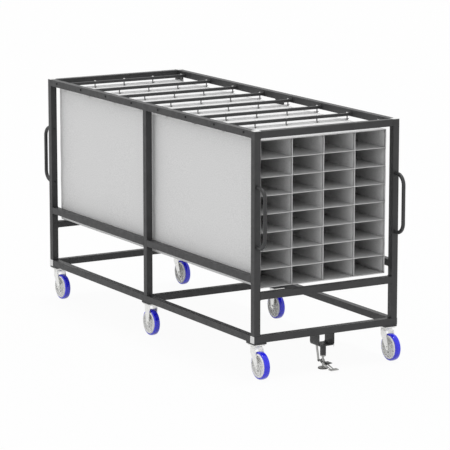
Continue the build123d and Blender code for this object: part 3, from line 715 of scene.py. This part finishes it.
def caster_plates():
    """Mounting plates with cut corners; a swivel caster's plate carries its upper race and kingpin."""
    shape = Shape()
    low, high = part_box("caster_plates")
    half_x = PLATE_LENGTH / 2
    half_y = PLATE_WIDTH / 2
    corners = []
    for sx, sy in ((1, 1), (-1, 1), (-1, -1), (1, -1)):
        first = (sx * half_x, sy * (half_y - PLATE_CORNER))
        second = (sx * (half_x - PLATE_CORNER), sy * half_y)
        corners += [first, second] if sx * sy > 0 else [second, first]
    for end in (-1, 0, 1):
        for way in (-1, 1):
            place = Vector((end * (high.x - half_x), way * (high.y - half_y), high.z - PLATE_THICKNESS))
            path = [place, place + Vector((0, 0, PLATE_THICKNESS))]
            swept(shape, path, corners, (1, 0, 0), (0, 1, 0))
            if end:
                kingpin(shape, place, low.z - place.z)
    made = shape.piece("plates_and_races", ZINC, "frame", "zinc_plate", smooth=False)
    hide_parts("caster_plates")
    soften(made, PLATE_SOFTNESS)


# Pull handles

HANDLE_RADIUS = 14.0 * MM
HANDLE_BEND = 76.0 * MM
HANDLE_STEPS = 12
HANDLE_SEGMENTS = 28


def handle_path(reach, lower, upper):
    """The D of a handle from one foot to the other, as distance out, height and turn."""
    path = [(0, lower, 0)]
    for middle, start in ((lower + HANDLE_BEND, 0), (upper - HANDLE_BEND, pi / 2)):
        for i in range(HANDLE_STEPS + 1):
            turn = start + pi / 2 * i / HANDLE_STEPS
            path.append((reach + HANDLE_BEND * sin(turn), middle - HANDLE_BEND * cos(turn), turn))
    return path + [(0, upper, pi)]


def handles():
    """Round bars bent to a D on the posts' end faces."""
    for name, end in ENDS:
        low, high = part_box(f"pull_handles_{name}")
        face = low.x if end > 0 else high.x
        reach = high.x - low.x - HANDLE_RADIUS - HANDLE_BEND
        path = handle_path(reach, low.z + HANDLE_RADIUS, high.z - HANDLE_RADIUS)
        shape = Shape()
        for y in (low.y + HANDLE_RADIUS, high.y - HANDLE_RADIUS):
            bar = [(Vector((face + end * out, y, z)), Vector((-end * sin(turn), 0, cos(turn))))
                   for out, z, turn in path]
            round_bar(shape, bar, (0, 1, 0), HANDLE_RADIUS, HANDLE_SEGMENTS)
        made = shape.piece(f"handles_{name}", PAINT, "frame", "frame_paint")
        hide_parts(f"pull_handles_{name}")
        smooth_by_angle(made, BAR_TURN)


# The cell bag

TOP_LIFT = 3.0 * MM
TOP_DIP = 1.2 * MM
TOP_SAG_SHARE = 0.4
LOW_DIP_SHARE = 0.35
SWAY = 2.0 * MM
LONG_WAVE = 930 * MM
LONG_WAVE_SLANT = 1.1
SHORT_WAVE = 310 * MM
SHORT_WAVE_SLANT = 5
SHORT_WAVE_SHARE = 0.35
SHELF_SAG = 1.4 * MM
SAG_WAVE = 550 * MM
SAG_WAVE_SHARE = 0.3
BULGE = 1.2 * MM
BULGE_WAVE = 700 * MM
BULGE_WAVE_SHARE = 0.4
LENGTH_STEPS = 72
ROW_STEPS = 6
COLUMN_STEPS = 8

bag_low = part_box("bag_shelf_sheets")[0].z
bag_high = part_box("bag_upright_sheets")[1].z + CLOTH
bag_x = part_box("bag_shelf_sheets")[1].x
bag_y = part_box("bag_shelf_sheets")[1].y
bag_width = 2 * bag_y - CLOTH
bag_height = bag_high + TOP_LIFT - bag_low - CLOTH
column_y = [bag_width * (c / COLUMNS - 0.5) for c in range(COLUMNS + 1)]
row_z = [bag_low + CLOTH / 2 + bag_height * r / ROWS for r in range(ROWS + 1)]
rod_low, rod_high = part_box("bag_support_rods")
rod_radius = (rod_high.z - rod_low.z) / 2
rod_level = (rod_high.z + rod_low.z) / 2
rod_pitch = (rod_high.x - rod_low.x - 2 * rod_radius) / (CROSSBARS - 1)
bar_x = [(k - (CROSSBARS - 1) / 2) * rod_pitch for k in range(CROSSBARS)]


def hung(point):
    """Where hanging from the rods brings a point of the flat bag."""
    x, y, z = point
    share = (z - bag_low) / (bag_high - bag_low)
    dip = TOP_DIP * cos(pi * x / rod_pitch) ** 2 * (LOW_DIP_SHARE + (1 - LOW_DIP_SHARE) * share)
    sway = sin(2 * pi * x / LONG_WAVE + LONG_WAVE_SLANT * y / bag_y)
    sway += SHORT_WAVE_SHARE * sin(2 * pi * x / SHORT_WAVE + SHORT_WAVE_SLANT * y)
    return Vector((x, y + SWAY * sway * sin(0.5 * pi * (1 - share)), z - dip))


def upright(column, u, v):
    """A place on one upright sheet, for shares along it and up it; it is slack between the shelves."""
    x = bag_x * (2 * u - 1)
    row = min(ROWS - 1, int(v * ROWS))
    way = 1 if (row + column) % 2 else -1
    wave = 1 - BULGE_WAVE_SHARE + BULGE_WAVE_SHARE * sin(2 * pi * x / BULGE_WAVE + row)
    slack = BULGE * way * sin(pi * (v * ROWS - row)) * wave
    return hung((x, column_y[column] + slack, row_z[0] + v * bag_height))


def shelf(row, u, v):
    """A place on one shelf, for shares along it and across it; it sags in each cell."""
    x = bag_x * (2 * u - 1)
    column = min(COLUMNS - 1, int(v * COLUMNS))
    across = v * COLUMNS - column
    wave = 1 - SAG_WAVE_SHARE + SAG_WAVE_SHARE * sin(2 * pi * x / SAG_WAVE + 2 * column + row)
    sag = SHELF_SAG * 4 * across * (1 - across) * wave
    if row == ROWS:
        sag *= TOP_SAG_SHARE
    return hung((x, column_y[0] + v * bag_width, row_z[row] - sag))


def thicken(piece, depth):
    """Give a sheet its cloth's thickness."""
    solid = piece.modifiers.new("cloth", "SOLIDIFY")
    solid.thickness = depth
    solid.offset = 0


def bag_sheets():
    """Five upright sheets and nine level ones, each a sheet of cloth."""
    for column in range(COLUMNS + 1):
        shape = Shape()
        grid(shape, lambda u, v: upright(column, u, v), LENGTH_STEPS, ROWS * ROW_STEPS)
        piece = shape.piece(f"bag_upright_{column + 1}", SIDE_CLOTH, "frame", "bag_cloth")
        thicken(piece, CLOTH)
    for row in range(ROWS + 1):
        is_top = row == ROWS
        shape = Shape()
        grid(shape, lambda u, v: shelf(row, u, v), LENGTH_STEPS, COLUMNS * COLUMN_STEPS)
        # The top sheet takes the cloth painted lighter, as painted light from above; the shelves take the
        # cloth painted darker, as painted shade.
        cloth = PAINTED_LIGHT_TOP_CLOTH if is_top else PAINTED_SHADE_SHELF_CLOTH
        piece = shape.piece(f"bag_shelf_{row + 1}", cloth, "frame", "bag_cloth")
        thicken(piece, CLOTH)
    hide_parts("bag_upright_sheets")
    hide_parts("bag_shelf_sheets")
    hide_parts("bag_top_sheet")


TAPE_DEPTH = 22.0 * MM
TAPE_HALF = 2.3 * MM
TAPE_EDGE_SHARE = 0.75
TAPE_ARCS = 6
TAPE_CLOTH = 0.9 * MM
STITCH_PITCH = 9.0 * MM
STITCH_LENGTH = 5.0 * MM
STITCH_HALF = 0.5 * MM
STITCH_SINK = 0.3 * MM
STITCH_RISE = 0.5 * MM
STITCH_CREST_SHARE = 0.6
STITCH_DEPTH_SHARE = 0.72
STITCH_LIFT_SHARE = 0.85


def tape_section():
    """A tape folded round a cloth edge, as (inward, normal) distances from the edge."""
    section = [(TAPE_DEPTH, TAPE_HALF * TAPE_EDGE_SHARE)]
    for i in range(TAPE_ARCS + 1):
        turn = pi / 2 + pi * i / TAPE_ARCS
        section.append((TAPE_HALF * (1 + cos(turn)), TAPE_HALF * sin(turn)))
    return section + [(TAPE_DEPTH, -TAPE_HALF * TAPE_EDGE_SHARE)]


def folded(shape, path, section, inward, normal):
    """An open section of (inward, normal) distances carried along a path, as one strip of cloth."""
    count = len(section)
    shape.add([p + inward * a + normal * b for p in path for a, b in section],
              [(i * count + j, i * count + j + 1, (i + 1) * count + j + 1, (i + 1) * count + j)
               for i in range(len(path) - 1) for j in range(count - 1)])


def stitch(shape, place, along, inward, normal):
    """One raised stitch lying on a face."""
    half = along * STITCH_LENGTH / 2
    side = inward * STITCH_HALF
    low = place - normal * STITCH_SINK
    crest = place + normal * STITCH_RISE
    reach = half * STITCH_CREST_SHARE
    shape.add([low - half - side, low - half + side, low + half + side, low + half - side,
               crest - reach, crest + reach],
              [(0, 4, 1), (1, 4, 5, 2), (2, 5, 3), (3, 5, 4, 0)])


def stitch_line(shape, path, inward, normal):
    """Stitches at an even pitch along a tape's path, on the side that the normal points to."""
    shift = inward * TAPE_DEPTH * STITCH_DEPTH_SHARE + normal * TAPE_HALF * STITCH_LIFT_SHARE
    travelled = 0.0
    for start, stop in zip(path[:-1], path[1:]):
        length = (stop - start).length
        along = (stop - start) / length
        while travelled < length:
            stitch(shape, start + along * travelled + shift, along, inward, normal)
            travelled += STITCH_PITCH
        travelled -= length


def bag_bindings():
    """Tape and stitches round every cell's edge at both open ends."""
    up = [i / (ROWS * ROW_STEPS) for i in range(ROWS * ROW_STEPS + 1)]
    over = [i / (COLUMNS * COLUMN_STEPS) for i in range(COLUMNS * COLUMN_STEPS + 1)]
    for name, end in ENDS:
        u = (1 + end) / 2
        edges = [([upright(column, u, v) for v in up], Vector((0, 1, 0))) for column in range(COLUMNS + 1)]
        edges += [([shelf(row, u, v) for v in over], Vector((0, 0, 1))) for row in range(ROWS + 1)]
        tape = Shape()
        thread = Shape()
        inward = Vector((-end, 0, 0))
        for path, normal in edges:
            folded(tape, path, tape_section(), inward, normal)
            for way in (-1, 1):
                stitch_line(thread, path, inward, normal * way)
        bound = tape.piece(f"bag_binding_{name}", TAPE, "frame", "bag_cloth")
        thicken(bound, TAPE_CLOTH)
        length = sum((b - a).length for path, _ in edges for a, b in zip(path[:-1], path[1:]))
        sewn = thread.piece(f"bag_stitches_{name}", THREAD, "frame", "bag_cloth", smooth=False)


SLEEVE_CLOTH = 1.2 * MM
SLEEVE_CLEARANCE = 0.3 * MM
SLEEVE_FOOT = 3.0 * MM
SLEEVE_FLANGE = 13.0 * MM
SLEEVE_NOTCH = 9.0 * MM
SLEEVE_RIPPLE = 0.5 * MM
SLEEVE_WAVES = 3
SLEEVE_ARCS = 12
SLEEVE_STEPS = 8


def sleeve_section():
    """A sleeve's section across its rod, as distance along the bag and height: flange, loop, flange."""
    loop = rod_radius + SLEEVE_CLEARANCE + SLEEVE_CLOTH / 2
    level = row_z[-1] + CLOTH / 2 + SLEEVE_CLOTH / 2
    turns = [pi * (1 - i / SLEEVE_ARCS) for i in range(SLEEVE_ARCS + 1)]
    left = [(-SLEEVE_FLANGE, level), (-loop - SLEEVE_FOOT, level)]
    right = [(loop + SLEEVE_FOOT, level), (SLEEVE_FLANGE, level)]
    return left + [(loop * cos(turn), rod_level + loop * sin(turn)) for turn in turns] + right


def bag_sleeves():
    """Cloth tunnels round the rods, open at each hanger and sewn flat to the bag's top."""
    section = sleeve_section()
    cut = sum(((b[0] - a[0]) ** 2 + (b[1] - a[1]) ** 2) ** 0.5 for a, b in zip(section[:-1], section[1:]))
    run = column_y[1] - column_y[0] - 2 * SLEEVE_NOTCH
    for k, x in enumerate(bar_x):
        shape = Shape()
        for left in column_y[:-1]:

            def point(u, v):
                out, height = section[round(u * (len(section) - 1))]
                ripple = SLEEVE_RIPPLE * sin(2 * pi * SLEEVE_WAVES * v + k) * min(1, abs(out) / SLEEVE_FLANGE)
                return Vector((x + out, left + SLEEVE_NOTCH + run * v, height + ripple))

            grid(shape, point, len(section) - 1, SLEEVE_STEPS)
        # The sleeves take the top's cloth, painted lighter as painted light.
        piece = shape.piece(f"bag_sleeve_{k + 1}", PAINTED_LIGHT_TOP_CLOTH, "frame", "bag_cloth")
        thicken(piece, SLEEVE_CLOTH)


# Crossbars, hangers and bolts

BAR_WIDTH = 25.4 * MM
BAR_RISE = 6.0 * MM
BAR_LAP = 1.0 * MM
BAR_SOFTNESS = 1.8 * MM
TAB_WIDTH = 32.0 * MM
TAB_THICKNESS = 4.0 * MM
HANGER_HEAD = 7.5 * MM
HANGER_HEAD_HEIGHT = 4.8 * MM
HANGER_WASHER = 9.5 * MM
STEM_RADIUS = 4.6 * MM
STEM_GAP = 2.0 * MM
STEM_SEGMENTS = 20
HANGER_EYE_GAP = 2.1 * MM
HANGER_EYE_DEPTH = 1.9 * MM
HANGER_EYE_WIDTH = 2.6 * MM
HANGER_EYE_ARCS = 12
HANGER_EYE_SEGMENTS = 28
RAIL_HEAD = 7.6 * MM
RAIL_HEAD_HEIGHT = 3.8 * MM
RAIL_WASHER = 10.0 * MM

# The heads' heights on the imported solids
SOLID_HANGER_HEAD = 6.0 * MM
SOLID_RAIL_HEAD = 5.0 * MM

bar_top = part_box("hanger_bolts")[1].z - SOLID_HANGER_HEAD + BAR_RISE


def crossbars():
    """Bars with a tab at each end, taller than their solids by BAR_RISE, as the photo shows them."""
    low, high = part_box("crossbars")
    reach = high.y - TAB_THICKNESS
    shape = Shape()
    for x in bar_x:
        place = Vector((x, 0, 0))
        slab(shape, rectangle(BAR_WIDTH, low.z, bar_top), place, -reach - BAR_LAP, reach + BAR_LAP)
        for way in (-1, 1):
            slab(shape, rectangle(TAB_WIDTH, low.z, high.z), place, *sorted((way * reach, way * high.y)))
    made = shape.piece("crossbar_tubes", PAINT, "frame", "frame_paint", smooth=False)
    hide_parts("crossbars")
    soften(made, BAR_SOFTNESS)


def hangers():
    """Eye bolts through the crossbars: a washer and a head above, a stem and an eye round the rod."""
    heads = Shape()
    stems = Shape()
    stem = [(STEM_RADIUS, rod_level + rod_radius + STEM_GAP), (STEM_RADIUS, bar_top)]
    turns = [2 * pi * i / HANGER_EYE_ARCS for i in range(HANGER_EYE_ARCS)]
    middle = rod_radius + HANGER_EYE_GAP
    eye = [(middle + HANGER_EYE_DEPTH * cos(turn), HANGER_EYE_WIDTH * sin(turn)) for turn in turns]
    for x in bar_x:
        for y in column_y:
            hex_head(heads, (x, y, bar_top), (0, 0, 1), HANGER_HEAD, HANGER_HEAD_HEIGHT, HANGER_WASHER)
            turned(stems, stem, (x, y, 0), (0, 0, 1), STEM_SEGMENTS, False)
            turned(stems, eye, (x, y, rod_level), (0, 1, 0), HANGER_EYE_SEGMENTS)
    made = heads.piece("hanger_heads", BRIGHT, "frame", "bright_steel")
    smooth_by_angle(made, PRESSED_TURN)
    lower = stems.piece("hanger_eyes", STEM, "frame", "bright_steel")
    smooth_by_angle(lower, CURVED_TURN)
    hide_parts("hanger_bolts")


def rail_heads():
    """The crossbar bolts' heads on the outer faces of the top side rails."""
    low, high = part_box("crossbar_bolts")
    reach = high.y - SOLID_RAIL_HEAD
    level = (low.z + high.z) / 2
    shape = Shape()
    for x in bar_x:
        for side in (-1, 1):
            hex_head(shape, (x, side * reach, level), (0, side, 0), RAIL_HEAD, RAIL_HEAD_HEIGHT, RAIL_WASHER)
    shape.piece("rail_bolt_heads", BLACK_ZINC, "frame", "black_zinc", smooth=False)


# The floor lock

PAD_BORE = 6.0 * MM
PAD_HOLLOW = 0.3 * MM
PAD_SOLE = profile((-5, 0.3), (-3, 0), (-1, 0.4))
PAD_RIB = profile((0, 0), (0, 0.9), (-0.8, 1.4))
PAD_RIBS = 3
PAD_RIB_LEVEL = 1.6 * MM
PAD_RIB_PITCH = 2.2 * MM
PAD_TOP = profile((-3, -0.5), (-4, -0.2))
CUP_BORE = 9.0 * MM
CUP_INSET = 2.8 * MM
CUP_RIM = profile((0, 0), (0.2, 1.2), (-0.6, 2.4), (-6, 4.2))
CUP_NECK = profile((17, 5.2), (13, 6.6), (9, 7))
FOOT_SEGMENTS = 64


def lock_foot():
    """The lock's pressed cup and its ribbed rubber pad, both turned about the shaft."""
    low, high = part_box("lock_foot_pad")
    centre = ((low.x + high.x) / 2, (low.y + high.y) / 2, 0)
    radius = (high.x - low.x) / 2
    pad = [(PAD_BORE, PAD_HOLLOW)] + offset(PAD_SOLE, radius, 0)
    for i in range(PAD_RIBS):
        pad += offset(PAD_RIB, radius, PAD_RIB_LEVEL + i * PAD_RIB_PITCH)
    pad += offset(PAD_TOP, radius, high.z)
    pad.append((PAD_BORE, pad[-1][1]))
    rubber = Shape()
    turned(rubber, pad, centre, (0, 0, 1), FOOT_SEGMENTS)
    made = rubber.piece("foot_pad", PAD, "lock_foot", "pad_rubber")
    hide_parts("lock_foot_pad")
    cup = [(CUP_BORE, high.z)] + offset(CUP_RIM, radius - CUP_INSET, high.z) + offset(CUP_NECK, 0, high.z)
    pressed = Shape()
    turned(pressed, cup, centre, (0, 0, 1), FOOT_SEGMENTS)
    made = pressed.piece("foot_cup", DULL_ZINC, "lock_foot", "zinc_plate")
    smooth_by_angle(made, CURVED_TURN)


WIPER = profile((8.4, -0.2), (14.5, -0.2), (14.5, 1.6), (11, 2.8), (8.4, 2.8))
WIPER_SEGMENTS = 48
PIN_HEAD = profile((0.5, -0.4), (6.6, -0.4), (6.6, 1.2), (5.2, 2.4), (0.5, 2.8))
PIN_HEAD_SEGMENTS = 28
STRAP_END = 12.0 * MM
PIVOT_REACH = 24.0 * MM
LEVER_PIN_LEVEL = 49.0 * MM
LEVER_PIN_REACH = 14.0 * MM

guide_low, guide_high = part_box("lock_guide")
guide_middle = (guide_low + guide_high) / 2


def shaft_wiper():
    """The rubber ring round the shaft, under the lock's guide."""
    shape = Shape()
    turned(shape, WIPER, (guide_middle.x, guide_middle.y, guide_low.z), (0, 0, -1), WIPER_SEGMENTS)
    made = shape.piece("shaft_wiper", PAD, "frame", "pad_rubber")
    smooth_by_angle(made, BAR_TURN)


def pin_heads():
    """The round heads on the pin through the straps and on the lever's pin."""
    strap_low, strap_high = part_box("lock_straps")
    pins = {"frame": (strap_high.x - STRAP_END, strap_low.z + STRAP_END, PIVOT_REACH),
            "lock_lever": (guide_middle.x, LEVER_PIN_LEVEL, LEVER_PIN_REACH)}
    for body, (x, z, reach) in pins.items():
        shape = Shape()
        for way in (-1, 1):
            turned(shape, PIN_HEAD, (x, way * reach, z), (0, way, 0), PIN_HEAD_SEGMENTS)
        made = shape.piece(f"pin_heads_{body}", BLACK_ZINC, body, "black_zinc")
        smooth_by_angle(made, BAR_TURN)


# Camera, light and floor

SKY_STRENGTH = 0.88
KEY_STRENGTH = 1.3
KEY_SOFTNESS = 10
KEY_DIRECTION = (0.0, -0.1, -1.0)
FILL_STRENGTH = 0.36
FILL_SOFTNESS = 60
FILL_DIRECTION = (-0.30, 0.93, -0.20)
FLOOR_REACH = 150
FLOOR_GREY = (0.64, 0.64, 0.64, 1)
FLOOR_GLOW_SHARE = 0.95
WHITE = (1, 1, 1, 1)


def place_camera():
    """The camera that the photo was solved for."""
    scene = bpy.context.scene
    scene.view_settings.view_transform = "Standard"
    camera = bpy.data.cameras.new("camera")
    camera.lens = CAMERA_LENS
    camera.sensor_width = SENSOR
    camera.clip_end = FAR_CLIP
    eye = bpy.data.objects.new("camera", camera)
    scene.collection.objects.link(eye)
    eye.location = CAMERA_PLACE
    level = cos(CAMERA_PITCH)
    ahead = Vector((-cos(CAMERA_YAW) * level, sin(CAMERA_YAW) * level, -sin(CAMERA_PITCH)))
    eye.rotation_euler = ahead.to_track_quat("-Z", "Y").to_euler()
    scene.camera = eye


def seen_rays(tree):
    """One for the rays that show the white surroundings, zero for those that light the cart."""
    rays = add(tree, "ShaderNodeLightPath").outputs
    seen = maths(tree, "MAXIMUM", rays["Is Camera Ray"], rays["Is Glossy Ray"])
    return maths(tree, "MAXIMUM", seen, rays["Is Transmission Ray"])


def sun(name, strength, softness, direction):
    """A soft distant lamp that shines along a direction."""
    lamp = bpy.data.lights.new(name, "SUN")
    lamp.energy = strength
    lamp.angle = radians(softness)
    made = bpy.data.objects.new(name, lamp)
    bpy.context.scene.collection.objects.link(made)
    made.rotation_euler = Vector(direction).to_track_quat("-Z", "Y").to_euler()


def light():
    """Plain soft light from all round and two suns, in surroundings that show as white."""
    world = bpy.data.worlds.new("studio")
    bpy.context.scene.world = world
    world.use_nodes = True
    tree = world.node_tree
    tree.nodes.clear()
    soft = add(tree, "ShaderNodeBackground", {"Color": WHITE, "Strength": SKY_STRENGTH})
    white = add(tree, "ShaderNodeBackground", {"Color": WHITE, "Strength": 1.0})
    mix = add(tree, "ShaderNodeMixShader", {0: seen_rays(tree), 1: soft.outputs[0], 2: white.outputs[0]})
    add(tree, "ShaderNodeOutputWorld", {"Surface": mix.outputs[0]})
    sun("key", KEY_STRENGTH, KEY_SOFTNESS, KEY_DIRECTION)
    sun("side_fill", FILL_STRENGTH, FILL_SOFTNESS, FILL_DIRECTION)


def lay_floor():
    """A floor that shows as nearly white and keeps a pale shadow."""
    corners = [(sx * FLOOR_REACH, sy * FLOOR_REACH, 0) for sx, sy in ((-1, -1), (1, -1), (1, 1), (-1, 1))]
    mesh = bpy.data.meshes.new("floor")
    mesh.from_pydata(corners, [], [(0, 1, 2, 3)])
    floor = bpy.data.objects.new("floor", mesh)
    bpy.context.scene.collection.objects.link(floor)
    material = bpy.data.materials.new("floor")
    material.use_nodes = True
    tree = material.node_tree
    tree.nodes.clear()
    matt = add(tree, "ShaderNodeBsdfDiffuse", {"Color": FLOOR_GREY})
    glow = add(tree, "ShaderNodeEmission", {"Color": WHITE, "Strength": 1.0})
    share = maths(tree, "MULTIPLY", seen_rays(tree), FLOOR_GLOW_SHARE)
    mix = add(tree, "ShaderNodeMixShader", {0: share, 1: matt.outputs[0], 2: glow.outputs[0]})
    add(tree, "ShaderNodeOutputMaterial", {"Surface": mix.outputs[0]})
    mesh.materials.append(material)


dress_nodes()
weld_beads()
for wheel_name in WHEEL_NAMES:
    wheel(wheel_name)
    fork(wheel_name, not wheel_name.startswith("middle"))
caster_plates()
handles()
bag_sheets()
bag_bindings()
bag_sleeves()
crossbars()
hangers()
rail_heads()
lock_foot()
shaft_wiper()
pin_heads()
place_camera()
light()
lay_floor()
